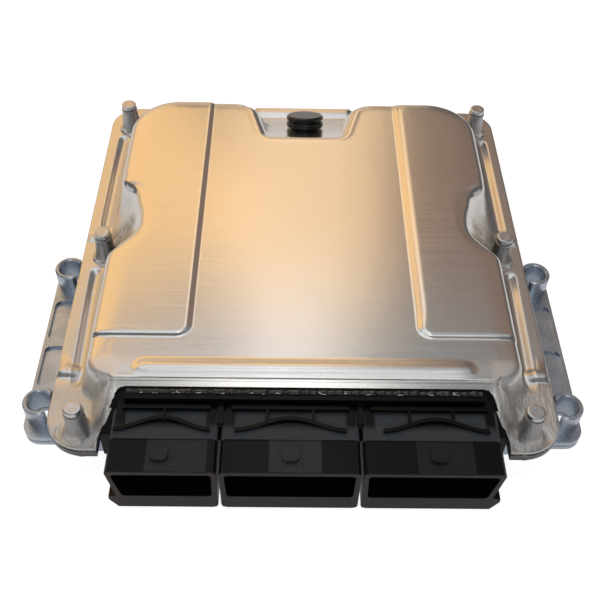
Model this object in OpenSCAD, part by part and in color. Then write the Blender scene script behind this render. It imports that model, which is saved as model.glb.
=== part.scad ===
// Engine control unit: a drawn aluminium cover riveted on a die-cast base, a three-bay
// connector header at the front (-Y) and a vent plug in a ramped notch at the back.
// Millimetres, Z up, origin under the middle of the whole unit.

/* [Cover] */
// Width of the cover flange
flange_w = 172; // [171:0.5:173]
// Front edge of the cover flange
flange_front = -84.2; // [-84.6:0.1:-83.8]
// Back edge of the cover flange
flange_back = 98; // [97.5:0.1:98.5]
// Radius of the flange's front corners
flange_r_front = 13.5; // [12.5:0.5:14.5]
// Radius of the flange's back corners
flange_r_back = 12; // [11:0.5:13]
// Height of the flange's upper face
flange_top = 12.5; // [12.4:0.1:12.6]
// Height of the cover's main top face
cover_top = 27.5; // [27.3:0.1:27.7]
// Thickness of the drawn sheet
sheet_t = 1.5; // [1.3:0.1:1.6]
// Half width of the drawn pan at the top of its wall
pan_half_w = 73; // [72.8:0.1:73.2]
// Front of the pan's wall
pan_front = -66.8; // [-67:0.1:-66.6]
// Back of the pan's wall
pan_back = 84.5; // [84.2:0.1:84.8]
// Spread of the pan's wall from its top to its root
pan_draft = 2.4; // [2:0.1:2.6]
// Radius of the pan's upper edge
pan_edge_r = 3; // [2.6:0.1:3.2]
// Radius at the pan's root
pan_root_r = 2; // [1.6:0.1:2.2]
// Radius of the pan's front corners
pan_corner_front = 9; // [8:0.5:10]
// Radius of the pan's back corners
pan_corner_back = 20; // [18:0.5:21]
// Rise of the two side panels above the main top face
panel_rise = 0.9; // [0.6:0.1:1.1]
// Distance of each side panel's inner edge from the middle
panel_inner = 39; // [37:0.5:41]
// Front edge of the side panels
panel_front = -48.8; // [-50:0.2:-47]
// Length of the long bead near the front
bead_len = 114; // [110:1:118]
// Width of the long bead
bead_w = 6.4; // [5.6:0.2:7]
// Height of the long bead
bead_h = 1.1; // [0.8:0.1:1.3]
// Place of the long bead along the unit
bead_y = -61.7; // [-62:0.1:-61.4]
// Depth of each scallop beside a middle rivet
scallop_depth = 10.2; // [9.8:0.1:10.4]
// Front end of the scallops
scallop_front = -9; // [-9.5:0.5:-8.5]
// Back end of the scallops
scallop_back = 28.5; // [28:0.5:29]

/* [Vent notch] */
// Slope of the notch's floor, down to the back, in degrees
ramp_slope = 24; // [23:0.5:25]
// Place of the ramp's upper end
ramp_front = 58.4; // [58:0.2:59]
// Half width of the ramp
ramp_half_w = 16.2; // [15.8:0.2:16.6]
// Radius of the vent plug
vent_r = 7.9; // [7.7:0.1:8.1]
// Place of the vent plug along the unit
vent_y = 75.4; // [75:0.2:76]
// Place of the vent plug across the unit
vent_x = 0.6; // [0:0.1:0.8]

/* [Rivets] */
// Distance of the back and middle rivets from the middle
rivet_x = 76.6; // [76.4:0.1:76.8]
// Distance of the front rivets from the middle
rivet_x_front = 74.4; // [74.2:0.1:74.6]
// Distance between the rows of rivets
rivet_pitch = 80; // [79.8:0.1:80.2]
// Place of the middle row
rivet_y = 3; // [2.8:0.1:3.2]
// Height of the rivet heads
rivet_top = 25.9; // [25.6:0.1:26.2]
// Radius of the upset heads
rivet_head_r = 3.05; // [2.95:0.05:3.1]
// Radius of the shanks
rivet_r = 1.98; // [1.9:0.02:1.98]
// Outer radius of the drawn collars
collar_r = 2.9; // [2.8:0.05:2.95]

/* [Base] */
// Distance between the outer edges of the ears
ear_span = 192; // [191.6:0.1:192.4]
// Thickness of the ears
ear_t = 4; // [3.8:0.1:4.2]
// Front end of the ears
ear_front = -74.8; // [-75.2:0.2:-74.4]
// Spacing of the mounting holes across the unit
hole_spacing_x = 180.2; // [180:0.1:180.4]
// Spacing of the mounting holes along the unit
hole_spacing_y = 62.2; // [62:0.1:62.4]
// Place of the rear mounting holes
hole_rear_y = -2.6; // [-2.8:0.1:-2.4]
// Radius of the mounting holes
hole_r = 3.9; // [3.7:0.1:3.9]
// Outer radius of the bolt bosses
boss_r = 5.7; // [5.6:0.1:5.8]
// Height of the bolt bosses
boss_top = 12; // [11.8:0.1:12.2]
// Height of the rim's upper face
rim_top = 10.3; // [10.2:0.05:10.4]
// Thickness of the overhanging rim
rim_t = 2.2; // [2.1:0.1:2.4]
// Thickness of the tray's floor
floor_t = 3; // [2.8:0.1:3.1]

/* [Header] */
// Front of the connector mouths
mouth_y = -98; // [-98.4:0.1:-97.6]
// Height of the shrouds
shroud_top = 21.6; // [21.4:0.1:21.8]
// Height of the header's lowest face
header_z = 0.3; // [0.2:0.1:0.5]
// Width of the 32-way bay
bay_small = 34.4; // [34:0.2:34.8]
// Width of each 48-way bay
bay_large = 44.2; // [43.8:0.2:44.6]
// Gap between the shrouds
bay_gap = 0.9; // [0.7:0.1:1.1]
// Height of the mouths' lower edge
mouth_floor = 7.2; // [7:0.1:7.4]
// Depth of the mouths
mouth_depth = 22; // [21:0.5:22.5]
// Pitch of the contact blades across a bay
blade_pitch = 3.2; // [3:0.1:3.3]
// Pitch of the rows of blades
row_pitch = 2.8; // [2.6:0.1:2.9]

/* [Board] */
// Height of the circuit board's lower face
board_z = 5; // [4.9:0.1:5.1]
// Thickness of the circuit board
board_t = 1.6; // [1.5:0.1:1.7]
// Half width of the circuit board
board_half_w = 71.5; // [71:0.1:71.8]

/* [Hidden] */
$fn = 48;

aluminium = [0.78, 0.78, 0.78];
cast_grey = [0.66, 0.67, 0.69];
black_plastic = [0.1, 0.1, 0.1];
steel = [0.7, 0.71, 0.72];
rubber = [0.07, 0.07, 0.07];
board_green = [0.1, 0.32, 0.18];
chip_black = [0.13, 0.13, 0.14];
tin = [0.8, 0.8, 0.78];
pad_pink = [0.75, 0.6, 0.6];
can_silver = [0.72, 0.73, 0.75];
ferrite = [0.2, 0.2, 0.21];
ceramic = [0.55, 0.42, 0.3];
film_white = [0.9, 0.9, 0.86];

eps = 0.05;
corner_steps = 5;

flange_half = flange_w / 2;
flange_under = flange_top - sheet_t;
tray_inset = 7;
tray_half = flange_half - tray_inset;
tray_back = flange_back - tray_inset;
tray_front = flange_front + tray_inset;
cavity_half = 73;
cavity_back = 85.5;
rim_under = rim_top - rim_t;
groove_depth = 1.1;
groove_r = 3.3;
boss_lip = 0.6;
header_half = 67.4;
floor_front = -66;

rivet_places = [
    for (side = [-1, 1]) for (row = [1, 0, -1])
        [side * (row < 0 ? rivet_x_front : rivet_x), rivet_y + row * rivet_pitch]
];
collar_top = rivet_top - 2.2;
head_under = rivet_top - 2;

hole_places = [
    for (side = [-1, 1]) for (row = [0, 1])
        [side * hole_spacing_x / 2, hole_rear_y - row * hole_spacing_y]
];

board_top = board_z + board_t;
board_front = -57.5;
board_back = 84;
screw_places = [
    for (side = [-1, 1]) for (place = [[64, 66], [66, -24], [63, -50]])
        [side * place[0], place[1]]
];

bay_left = -(bay_small + 2 * bay_large + 2 * bay_gap) / 2 + 0.3;
bays = [
    [bay_left, bay_left + bay_small, 8],
    [bay_left + bay_small + bay_gap, bay_left + bay_small + bay_gap + bay_large, 12],
    [bay_left + bay_small + bay_large + 2 * bay_gap, bay_left + bay_small + 2 * bay_large + 2 * bay_gap, 12]
];
shroud_wall = 1.5;
shroud_lean = 2;
shroud_back = mouth_y + mouth_depth;
block_back = -58;
collar_front = -72.6;
collar_half = 58.6;
arch_top = 25.3;
arch_gap = 0.4;
row_middle = (mouth_floor + shroud_top - shroud_wall) / 2;
blade_w = 0.9;
leg_front = -54.5;

// Height of the vent ramp at a place along the unit
function ramp_z(y) = cover_top - (y - ramp_front) * tan(ramp_slope);

// Outward normal of the edge from a to b of an outline that runs anticlockwise
function edge_normal(a, b) =
    let (e = [b[0] - a[0], b[1] - a[1]])
    [e[1], -e[0]] / norm(e);

// Points of one rounded corner [x, y, r], with the whole outline moved in by inset
function corner_points(before, corner, after, inset) =
    let (
        n1 = edge_normal(before, corner),
        n2 = edge_normal(corner, after),
        turn = atan2(n1[0] * n2[1] - n1[1] * n2[0], n1 * n2),
        side = turn >= 0 ? 1 : -1,
        centre = [corner[0], corner[1]] - side * corner[2] * (n1 + n2) / (1 + n1 * n2),
        start = atan2(n1[1], n1[0])
    )
    [
        for (k = [0:corner_steps])
            let (a = start + turn * k / corner_steps)
                centre + (side * corner[2] - inset) * [cos(a), sin(a)]
    ];

// One level of a drawn shape: the rounded outline, moved in by inset, at height z
function ring(corners, inset, z) =
    let (n = len(corners))
    [
        for (i = [0:n - 1])
            for (q = corner_points(corners[(i + n - 1) % n], corners[i], corners[(i + 1) % n], inset))
                [q[0], q[1], z]
    ];

// A solid through a stack of rings that all have the same number of points
module loft(rings) {
    n = len(rings[0]);
    last = (len(rings) - 1) * n;
    polyhedron(
        points = [for (r = rings) each r],
        faces = concat(
            [[for (i = [0:n - 1]) i]],
            [[for (i = [n - 1:-1:0]) last + i]],
            [
                for (j = [0:len(rings) - 2]) for (i = [0:n - 1])
                    let (a = j * n + i, b = j * n + (i + 1) % n)
                        each [[a, a + n, b + n], [a, b + n, b]]
            ]
        )
    );
}

// The corners of the drawn pan's wall, with a scallop in each side
function pan_corners() =
    let (
        inner = pan_half_w - scallop_depth,
        side = [
            [pan_half_w, scallop_front, 6],
            [inner, scallop_front + 13, 10],
            [inner + 0.2, scallop_front + 21, 20],
            [inner + 5.4, scallop_back - 3, 7],
            [pan_half_w, scallop_back, 3.6]
        ]
    )
    concat(
        [[-pan_half_w, pan_front, pan_corner_front], [pan_half_w, pan_front, pan_corner_front]],
        side,
        [[pan_half_w, pan_back, pan_corner_back], [-pan_half_w, pan_back, pan_corner_back]],
        [for (i = [len(side) - 1:-1:0]) [-side[i][0], side[i][1], side[i][2]]]
    );

// The corners of the flange and of the rim below it
function flange_corners() = [
    [-flange_half, flange_front, flange_r_front],
    [flange_half, flange_front, flange_r_front],
    [flange_half, flange_back, flange_r_back],
    [-flange_half, flange_back, flange_r_back]
];

// The pan's outer face from the flange to its top, with both edges rounded
module pan_outer(top) {
    root = [
        for (a = [0:30:90])
            [-pan_draft - pan_root_r * (1 - sin(a)), flange_top + pan_root_r * (1 - cos(a))]
    ];
    edge = [
        for (a = [0:22.5:90])
            [pan_edge_r * (1 - cos(a)), top - pan_edge_r * (1 - sin(a))]
    ];
    levels = concat([[root[0][0], flange_top - 0.5]], root, edge);
    loft([for (l = levels) ring(pan_corners(), l[0], l[1])]);
}

// The space inside the pan
module pan_inner(top) {
    r = pan_edge_r - sheet_t;
    edge = [for (a = [0:30:90]) [sheet_t + r * (1 - cos(a)), top - pan_edge_r + r * sin(a)]];
    levels = concat([[sheet_t - pan_draft, flange_under - 2]], edge);
    loft([for (l = levels) ring(pan_corners(), l[0], l[1])]);
}

// The region of one raised side panel, with sloping inner and front edges
module panel_region(side, grow) {
    slope = 1.1;
    far = 60;
    hull() {
        for (level = [[cover_top - 2, 0], [cover_top, 0], [cover_top + panel_rise, 2 * slope]]) {
            for (y = [panel_front + 5, far + 60]) {
                translate([side * (panel_inner + 4 + level[1] - grow), y + level[1] - grow, level[0]])
                    cylinder(r = 5, h = eps, $fn = 24);
                translate([side * (panel_inner + far), y + level[1] - grow, level[0]])
                    cylinder(r = 5, h = eps, $fn = 24);
            }
        }
    }
}

// The sloping apron in front of the pan, which comes down to the flange beside the header
module apron(top, inset) {
    edge_r = 1;
    foot_r = 3.6;
    top_half = 65 - inset;
    foot_half = 67 - inset;
    hull() {
        for (side = [-1, 1]) {
            for (y = [pan_front + 1.6 + inset, pan_front + 10.8]) {
                translate([side * top_half, y, top - edge_r - inset])
                    sphere(r = edge_r, $fn = 16);
            }
            for (y = [flange_front + 6.8 + inset, pan_front + 6.8]) {
                translate([side * foot_half, y, flange_under - inset])
                    cylinder(r = foot_r, h = sheet_t, $fn = 24);
            }
        }
    }
}

// The long stiffening bead on the top face
module bead(drop) {
    hull() {
        for (side = [-1, 1]) {
            translate([side * (bead_len - bead_w) / 2, bead_y, cover_top - drop])
                scale([1, 1, 2 * bead_h / bead_w])
                    sphere(r = bead_w / 2, $fn = 24);
        }
    }
}

// The notch that is ramped down to the back; grow adds the sheet below it
module notch(grow) {
    round_r = 2;
    far = 112;
    shift = grow / sin(ramp_slope);
    bottom = flange_top - grow;
    levels = concat(
        [[bottom, 0]],
        [for (a = [0:22.5:90]) [cover_top - round_r * (1 - sin(a)), round_r * (1 - cos(a))]],
        [[cover_top + 3, round_r]]
    );
    loft([
        for (l = levels)
            let (
                z = min(l[0], cover_top),
                y = ramp_front + (cover_top - z) / tan(ramp_slope) - shift,
                spread = 2 + 10 * (z - flange_top) / (cover_top - flange_top),
                w = ramp_half_w + grow
            )
                ring([[-w, y, 5], [w, y, 5], [w + spread, far, 1], [-w - spread, far, 1]], -l[1], l[0])
    ]);
}

// The shape of the opening over the header, seen from the front
module header_arch(gap) {
    half = [
        [58, arch_top - gap], [60.4, arch_top - 0.3 - gap], [61.9 - gap, 23.8 - gap], [62.8 - gap, 22.2],
        [64.2 - gap, 18], [66.4 - gap, 15.4], [67.8 - gap, flange_top], [67.8 - gap, 0]
    ];
    polygon(concat(
        [for (p = half) p],
        [for (i = [len(half) - 1:-1:0]) [-half[i][0], half[i][1]]]
    ));
}

// Runs a front-view shape from y0 back to y1
module along_y(y0, y1) {
    translate([0, y1, 0])
        rotate([90, 0, 0])
            linear_extrude(y1 - y0)
                children();
}

// Ends of the sealing channels pressed into the side flanges: [[x, y], [x, y]]
channels = [[[79.3, 75], [79.3, 21]], [[79.4, -6], [78.2, -57]]];

// One pressed channel, as a rounded groove; drop lowers it by the sheet
module channel(ends, side, drop) {
    hull() {
        for (p = ends) {
            translate([side * p[0], p[1], flange_top - drop])
                scale([1, 1, 0.42])
                    sphere(r = 3, $fn = 16);
        }
    }
}

// The collar that is drawn up round each rivet, with a flared root
module collar() {
    flare = 2.6;
    rotate_extrude($fn = 24)
        polygon(concat(
            [[0, flange_under], [collar_r + flare, flange_under]],
            [
                for (a = [0:30:90])
                    [collar_r + flare * (1 - sin(a)), flange_top + flare * (1 - cos(a))]
            ],
            [[collar_r - 0.1, collar_top], [0, collar_top]]
        ));
}

// A low rib pressed up from the flange between two places
module rim_rib(a, b, r) {
    hull() {
        for (p = [a, b]) {
            translate([p[0], p[1], flange_top])
                scale([1, 1, 0.6])
                    sphere(r = r, $fn = 16);
        }
    }
}

module cover() {
    tops = [cover_top, cover_top + panel_rise];
    rim_levels = [[0, flange_under], [0, flange_top - 0.8], [0.25, flange_top - 0.2], [0.8, flange_top]];
    color(aluminium) difference() {
        union() {
            loft([for (l = rim_levels) ring(flange_corners(), l[0], l[1])]);
            for (side = [-1, 1]) {
                for (ends = channels) {
                    channel(ends, side, sheet_t);
                }
                rim_rib([side * 80.2, -52.6], [side * 83.6, -52.6], 2.2);
                rim_rib([side * 82.6, 12.8], [side * 84.4, 12.8], 1.3);
            }
            // Raised rim behind the notch
            rim_rib([-18, 95.2], [18, 95.2], 2.4);
            difference() {
                union() {
                    pan_outer(tops[0]);
                    intersection() {
                        pan_outer(tops[1]);
                        for (side = [-1, 1]) panel_region(side, 0);
                    }
                    apron(tops[0], 0);
                    bead(0);
                }
                notch(0);
            }
            for (p = rivet_places) {
                translate([p[0], p[1], 0]) collar();
            }
        }
        difference() {
            union() {
                pan_inner(tops[0]);
                intersection() {
                    pan_inner(tops[1]);
                    for (side = [-1, 1]) panel_region(side, sheet_t);
                }
                apron(tops[0], sheet_t);
                bead(sheet_t);
            }
            notch(sheet_t);
        }
        for (side = [-1, 1]) {
            for (ends = channels) {
                channel(ends, side, 0);
            }
        }
        along_y(mouth_y - 4, pan_front + 4) header_arch(0);
        for (p = rivet_places) {
            translate([p[0], p[1], 0]) cylinder(r = rivet_r + 0.07, h = rivet_top, $fn = 24);
        }
        at_vent() translate([0, 0, -6]) cylinder(r = 4.2, h = 8, $fn = 32);
    }
}

module cover_rivets() {
    bevel = 0.3;
    color(steel) for (p = rivet_places) {
        translate([p[0], p[1], 0])
            rotate_extrude()
                polygon([
                    [0, floor_t], [rivet_r, floor_t], [rivet_r, head_under], [rivet_head_r, head_under],
                    [rivet_head_r, rivet_top - bevel], [rivet_head_r - bevel, rivet_top], [0, rivet_top]
                ]);
    }
}

// A rounded rectangle with its own radii at the front and at the back
module plate_outline(half, front, back, r_front, r_back) {
    translate([-half, front + r_front]) square([2 * half, back - front - r_front - r_back]);
    translate([-half + r_front, front]) square([2 * half - 2 * r_front, r_front + 1]);
    translate([-half + r_back, back - r_back - 1]) square([2 * half - 2 * r_back, r_back + 1]);
    for (side = [-1, 1]) {
        translate([side * (half - r_front), front + r_front]) circle(r = r_front);
        translate([side * (half - r_back), back - r_back]) circle(r = r_back);
    }
}

// A pocket outline with equal corner radii, from one corner to the other
module pocket_outline(x0, y0, x1, y1, r) {
    translate([x0 + r, y0]) square([x1 - x0 - 2 * r, y1 - y0]);
    translate([x0, y0 + r]) square([x1 - x0, y1 - y0 - 2 * r]);
    for (x = [x0 + r, x1 - r]) for (y = [y0 + r, y1 - r]) translate([x, y]) circle(r = r);
}

// One ear: a plate with two shallow pockets, rounded round its bolt bosses
module ear(side) {
    half = ear_span / 2;
    root = tray_half - 4;
    back = hole_rear_y + boss_r + 0.4;
    mirror([side < 0 ? 1 : 0, 0, 0])
        difference() {
            linear_extrude(ear_t) pocket_outline(root, ear_front, half, back, 6);
            for (span = [[-32.2, -13], [-53.4, -35]]) {
                translate([0, 0, ear_t - 1.2])
                    linear_extrude(2) pocket_outline(root + 5, span[0], half - 1.1, span[1], 2.5);
            }
        }
}

// One bolt boss, open to the inboard side above the ear
module bolt_boss(place) {
    side = sign(place[0]);
    translate([place[0], place[1], 0])
        mirror([side < 0 ? 1 : 0, 0, 0])
            difference() {
                rotate_extrude()
                    polygon([
                        [0, 0], [boss_r, 0], [boss_r, boss_top - boss_lip],
                        [boss_r - boss_lip, boss_top], [0, boss_top]
                    ]);
                translate([0, 0, ear_t])
                    linear_extrude(boss_top)
                        rotate(195)
                            polygon([[0, 0], [12, -11], [12, 11]]);
                translate([-12 - 3.5, -12, ear_t]) cube([12, 24, boss_top]);
            }
}

// Channel groove in the rim, which takes the pressed channel of the cover
module rim_groove(ends, side) {
    a = ends[0];
    b = ends[1];
    turn = atan2(b[1] - a[1], side * (b[0] - a[0]));
    translate([side * a[0], a[1], rim_top - groove_depth])
        rotate(turn)
            linear_extrude(2) {
                translate([0, -groove_r]) square([norm(b - a), 2 * groove_r]);
                circle(r = groove_r);
                translate([norm(b - a), 0]) circle(r = groove_r);
            }
}

module base_casting() {
    post_r = 4;
    color(cast_grey) difference() {
        union() {
            difference() {
                union() {
                    linear_extrude(rim_under + eps)
                        plate_outline(
                            tray_half, tray_front, tray_back,
                            flange_r_front - 3, flange_r_back - 3
                        );
                    translate([0, 0, rim_under])
                        linear_extrude(rim_t)
                            plate_outline(
                                flange_half, flange_front, flange_back,
                                flange_r_front, flange_r_back
                            );
                }
                translate([0, 0, floor_t])
                    linear_extrude(rim_top)
                        plate_outline(cavity_half, -69, cavity_back, 3, 6);
                translate([-header_half - 0.4, mouth_y, -1])
                    cube([2 * header_half + 0.8, floor_front - mouth_y, rim_top + 2]);
            }
            for (p = rivet_places) {
                translate([p[0], p[1], floor_t - 0.5]) cylinder(r = 4, h = rim_top - floor_t + 0.5);
            }
            for (p = screw_places) {
                translate([p[0], p[1], floor_t - 0.5]) cylinder(r = post_r, h = board_z - floor_t + 0.5);
            }
            for (x = [-54, 40]) {
                translate([x, -22, floor_t - 0.5]) cube([14, 80, board_z - floor_t - 0.1]);
            }
            for (side = [-1, 1]) ear(side);
            for (p = hole_places) bolt_boss(p);
        }
        for (p = rivet_places) {
            translate([p[0], p[1], floor_t]) cylinder(r = rivet_r + 0.02, h = rim_top);
        }
        for (p = screw_places) {
            translate([p[0], p[1], 1]) cylinder(r = 1.3, h = board_z);
        }
        for (p = hole_places) {
            translate([p[0], p[1], -1]) cylinder(r = hole_r, h = boss_top + 2);
            translate([p[0], p[1], boss_top - boss_lip])
                cylinder(r1 = hole_r, r2 = hole_r + 2 * boss_lip, h = 2 * boss_lip);
        }
        for (side = [-1, 1]) for (ends = channels) rim_groove(ends, side);
        for (x = [-62, 4]) for (y = [-54, -8, 38]) {
            translate([0, 0, -1]) linear_extrude(1.8) pocket_outline(x, y, x + 58, y + 40, 4);
        }
    }
}

// The line of sealant between the rim and the flange, left out behind the header
module flange_seal() {
    width = 2.6;
    edge = 0.25;
    color(rubber) difference() {
        translate([0, 0, rim_top])
            linear_extrude(flange_under - rim_top)
                plate_outline(
                    flange_half - edge, flange_front + edge, flange_back - edge,
                    flange_r_front - edge, flange_r_back - edge
                );
        translate([0, 0, rim_top - 1])
            linear_extrude(3)
                plate_outline(
                    flange_half - edge - width, flange_front + edge + width, flange_back - edge - width,
                    flange_r_front - edge - width, flange_r_back - edge - width
                );
        translate([-header_half - 0.4, mouth_y, rim_top - 1]) cube([2 * header_half + 0.8, 40, 4]);
    }
}

// The bead of sealant that is squeezed out along the cover's front edge
module header_seal() {
    length = 116;
    h = 0.9;
    w = 0.8;
    color(rubber)
        translate([-length / 2, -69.9, arch_top - arch_gap])
            rotate([90, 0, 90])
                linear_extrude(length)
                    polygon([for (a = [0:20:180]) [w * cos(a), h * sin(a)]]);
}

// The outline of one shroud seen from the front; the outer walls lean in to the bottom
module shroud_outline(bay, lean_left, lean_right) {
    x0 = bay[0];
    x1 = bay[1];
    lip = mouth_floor - 0.6;
    left = lean_left > 0
        ? [[x0 + lean_left, lip + 0.6], [x0 - 0.6, lip], [x0 - 0.6, lip - 1.8], [x0 + 2, header_z]]
        : [[x0, header_z + 1.8], [x0 + 0.5, header_z + 0.5], [x0 + 1.8, header_z]];
    right = lean_right > 0
        ? [[x1 - 2, header_z], [x1 + 0.6, lip - 1.8], [x1 + 0.6, lip], [x1 - lean_right, lip + 0.6]]
        : [[x1 - 1.8, header_z], [x1 - 0.5, header_z + 0.5], [x1, header_z + 1.8]];
    top = [[x1, shroud_top - 0.8], [x1 - 0.8, shroud_top], [x0 + 0.8, shroud_top], [x0, shroud_top - 0.8]];
    polygon(concat(left, right, top));
}

// The mouth of one shroud
module mouth_outline(bay, lean_left, lean_right) {
    top = shroud_top - shroud_wall;
    r = 1.3;
    corners = [
        [bay[0] + shroud_wall + 0.4 + lean_left, mouth_floor, r],
        [bay[1] - shroud_wall - 0.4 - lean_right, mouth_floor, r],
        [bay[1] - shroud_wall, top, r],
        [bay[0] + shroud_wall, top, r]
    ];
    polygon([for (q = ring(corners, 0, 0)) [q[0], q[1]]]);
}

// Middle and half length of the bell-shaped ridge of each bay; its locking nub has the same middle
bells = [[-45.6, 15.4], [-4.5, 17.8], [42.1, 17]];

// The bell-shaped ridge on top of one bay
module bell_ridge(bell) {
    ends = -83.4;
    crest = 4.4;
    width = 1.4;
    steps = 24;
    front = [
        for (k = [0:steps])
            let (u = 2 * k / steps - 1)
                [bell[0] + bell[1] * u, ends + crest * (1 + cos(180 * u)) / 2]
    ];
    back = [for (i = [steps:-1:0]) front[i] + [0, width]];
    polygon(concat(front, back));
}

// Ribs that cross the recessed panel of each bay
rib_places = [-45.2, -12.1, 2.7, 33.8, 48];

// The side of the header that closes the arch behind the cover's apron
module header_web(side) {
    front = -79.2;
    foot = 0.8;
    root = 56;
    slope_foot = [-77.5, 15.4];
    slope_head = [-70.6, 21.8];
    intersection() {
        along_y(front - 1, floor_front) header_arch(arch_gap);
        translate([side > 0 ? root : -header_half + 0.1, 0, 0])
            rotate([90, 0, 90])
                linear_extrude(header_half - root - 0.1)
                    polygon([
                        [floor_front, foot], [floor_front, 24], slope_head, slope_foot,
                        [front, slope_foot[1] - 1.8], [front, foot + 0.8], [front + 0.8, foot]
                    ]);
    }
}

module connector_header() {
    deck = shroud_top + 0.4;
    lean = [[shroud_lean, 0], [0, 0], [0, shroud_lean]];
    ridge_front = -75;
    ridge_back = -73.2;
    nub_w = 5.6;
    nub_l = 5.2;
    color(black_plastic) difference() {
        union() {
            for (i = [0:2]) {
                bay = bays[i];
                along_y(mouth_y, shroud_back + 4) shroud_outline(bay, lean[i][0], lean[i][1]);
                // Deck behind the step line, the bell ridge on it and the ridge at its back
                translate([bay[0] + 1.2, -85.9, shroud_top - 1])
                    cube([bay[1] - bay[0] - 2.4, 15, deck - shroud_top + 1]);
                translate([0, 0, deck - 0.2]) linear_extrude(1.2) bell_ridge(bells[i]);
                translate([bay[0] + 3, ridge_front, deck - 0.2])
                    cube([bay[1] - bay[0] - 6, ridge_back - ridge_front, 1.2]);
                // Locking nub near the mouth
                translate([bells[i][0] - nub_w / 2, -94, shroud_top - 0.2])
                    linear_extrude(1.4) pocket_outline(0, 0, nub_w, nub_l, 1.8);
            }
            // Posts that join the decks of two bays
            for (i = [0:1]) {
                translate([bays[i][1] + bay_gap / 2 - 1, -80.5, shroud_top - 1])
                    cube([2, 8, 2.2]);
            }
            for (x = rib_places) {
                translate([x - 0.45, -79.5, deck - 0.2]) cube([0.9, 8.5, 1]);
            }
            // Collar that fills the arch of the cover and the block that carries the blades
            along_y(collar_front, floor_front) intersection() {
                header_arch(arch_gap);
                translate([-collar_half, header_z]) square([2 * collar_half, 30]);
            }
            translate([bays[0][0] + 1, floor_front - 8, floor_t + 0.3])
                cube([bays[2][1] - bays[0][0] - 2, block_back - floor_front + 8, shroud_top - floor_t - 1]);
            for (side = [-1, 1]) header_web(side);
        }
        for (i = [0:2]) {
            bay = bays[i];
            along_y(mouth_y - 1, shroud_back) mouth_outline(bay, lean[i][0], lean[i][1]);
            // Recessed panel between the ridge and the bell
            translate([0, 0, deck - 0.7]) linear_extrude(0.72) difference() {
                translate([bay[0] + 4, -83.6]) square([bay[1] - bay[0] - 8, ridge_front + 83.6]);
                translate([0, -20]) for (k = [0:20]) translate([0, k]) bell_ridge(bells[i]);
            }
            // Deep slot between the ridge and the collar, bridged by the ribs
            difference() {
                translate([bay[0] + 3, ridge_back, 19.5])
                    cube([bay[1] - bay[0] - 6, collar_front - ridge_back, 4]);
                for (x = rib_places) {
                    translate([x - 0.45, ridge_back - 1, 19]) cube([0.9, 3, 5]);
                }
            }
            // Moulded pockets under the lower wall
            for (k = [0:2]) {
                w = (bay[1] - bay[0] - 8 - 3) / 3;
                translate([bay[0] + 4 + k * (w + 1.5), mouth_y + 3, -1]) cube([w, mouth_depth - 5, 5.6]);
            }
        }
        for (i = [0:1]) {
            translate([bays[i][1], mouth_y - 1, -1]) cube([bay_gap, 18, 40]);
        }
        for (x = bay_blades(0)) blade_slots(x);
        for (x = bay_blades(1)) blade_slots(x);
        for (x = bay_blades(2)) blade_slots(x);
    }
}

// Places of the blades across one bay
function bay_blades(i) =
    let (n = bays[i][2], middle = (bays[i][0] + bays[i][1]) / 2)
    [for (k = [0:n - 1]) middle + (k - (n - 1) / 2) * blade_pitch];

// Height of one row of blades
function row_z(row) = row_middle + (row - 1.5) * row_pitch;

// The slots that hold one column of four blades
module blade_slots(x) {
    for (row = [0:3]) {
        translate([x - blade_w / 2, shroud_back - 1, row_z(row) - blade_w / 2])
            cube([blade_w, block_back - shroud_back + 2, blade_w]);
    }
}

// One column of blades: straight through the header, then down into the board
module blades(i) {
    tip = mouth_y + 8;
    foot = board_z - 0.9;
    color(tin) for (x = bay_blades(i)) for (row = [0:3]) {
        z = row_z(row);
        leg = leg_front + row * row_pitch;
        h = blade_w / 2 - 0.02;
        translate([x - h, 0, 0])
            rotate([90, 0, 90])
                linear_extrude(2 * h)
                    polygon([
                        [tip, z - h / 2], [tip + 0.6, z - h], [leg - h, z - h], [leg - h, foot],
                        [leg + h, foot], [leg + h, z + h], [tip + 0.6, z + h], [tip, z + h / 2]
                    ]);
    }
}

module left_terminals() blades(0);
module middle_terminals() blades(1);
module right_terminals() blades(2);

module circuit_board() {
    relief = 6;
    color(board_green) translate([0, 0, board_z]) linear_extrude(board_t) difference() {
        plate_outline(board_half_w, board_front, board_back, 3, 14);
        for (p = rivet_places) translate(p) circle(r = relief);
        for (p = screw_places) translate(p) circle(r = 1.6);
        for (i = [0:2]) for (x = bay_blades(i)) for (row = [0:3]) {
            translate([x, leg_front + row * row_pitch]) square(1.1, center = true);
        }
    }
}

module board_screws() {
    color(steel) for (p = screw_places) {
        translate([p[0], p[1], 0]) difference() {
            rotate_extrude()
                polygon([
                    [0, 1.2], [1.28, 1.2], [1.28, board_top], [2.8, board_top],
                    [2.8, board_top + 1.4], [2.2, board_top + 2], [0, board_top + 2]
                ]);
            translate([0, 0, board_top + 1]) cylinder(r = 1.2, h = 2, $fn = 6);
        }
    }
}

// A chip with a row of bent leads on two or on four sides
module leaded_chip(w, l, h, count, pitch, four_sides) {
    lead_w = pitch * 0.45;
    lead_l = 1.2;
    lead_t = 0.25;
    knee = 0.6;
    reach_out = 0.8;
    translate([-w / 2, -l / 2, 0.1]) cube([w, l, h]);
    for (turn = four_sides ? [0, 90, 180, 270] : [0, 180]) {
        rotate(turn) for (k = [0:count - 1]) {
            reach = turn % 180 == 0 ? w / 2 : l / 2;
            translate([reach - 0.2, (k - (count - 1) / 2) * pitch - lead_w / 2, 0])
                rotate([90, 0, 0]) mirror([0, 0, 1]) linear_extrude(lead_w)
                    polygon([
                        [0, knee], [reach_out, knee], [reach_out, 0], [lead_l, 0],
                        [lead_l, lead_t], [reach_out + lead_t, lead_t], [reach_out + lead_t, knee + lead_t],
                        [0, knee + lead_t]
                    ]);
        }
    }
}

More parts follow.
